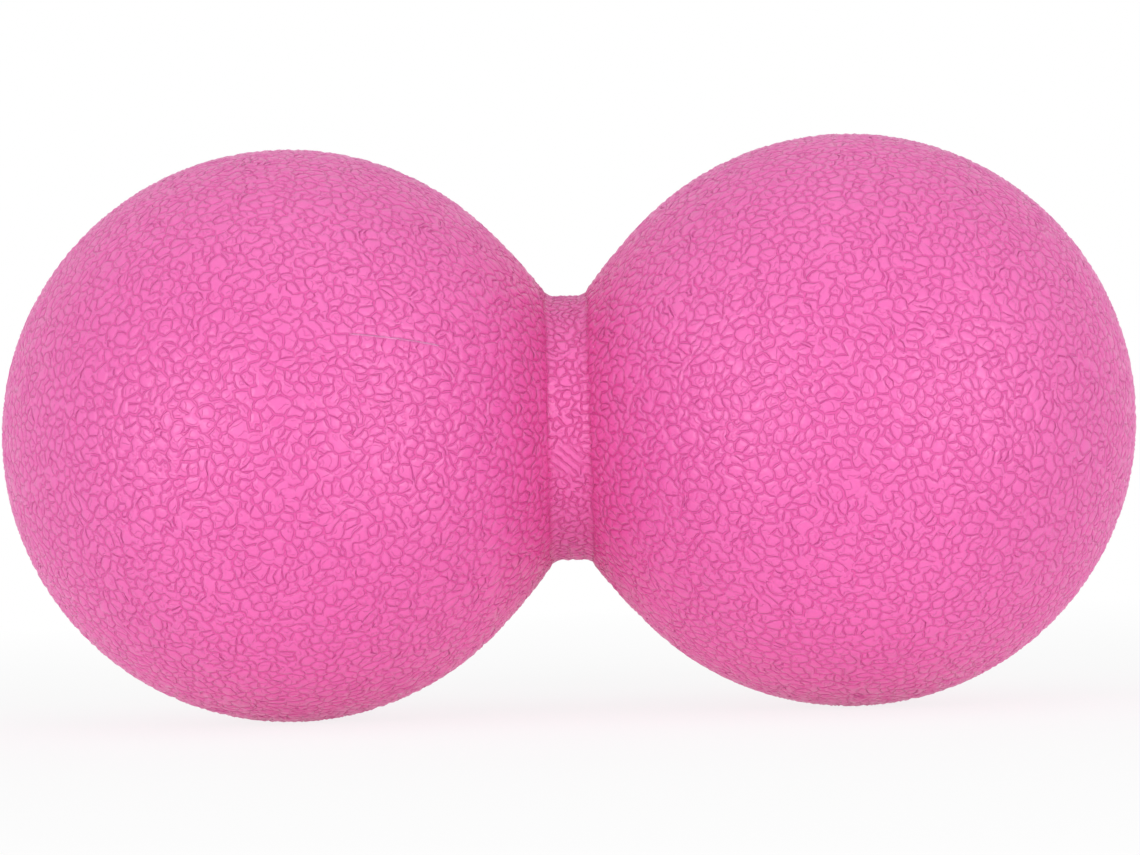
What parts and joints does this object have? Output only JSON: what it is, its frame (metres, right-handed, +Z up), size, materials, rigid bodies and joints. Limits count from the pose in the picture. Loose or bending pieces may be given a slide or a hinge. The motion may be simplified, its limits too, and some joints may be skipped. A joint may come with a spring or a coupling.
{
  "type": "peanut massage ball",
  "caption": "Double massage ball: two equal rubber balls moulded in one piece with a short round neck between them, grained all over.",
  "frame": {"origin": "middle of the neck, which is the middle of the whole body", "axes": "+X along the line through both ball centres, +Z up, +Y away from the viewer of the pictured side"},
  "size_m": [0.1246, 0.063, 0.063],
  "materials": {
    "moulded_rubber": "matte moulded rubber with a leather grain"
  },
  "bodies": {
    "root": {"peanut_ball": "moulded_rubber"}
  },
  "joints": []
}
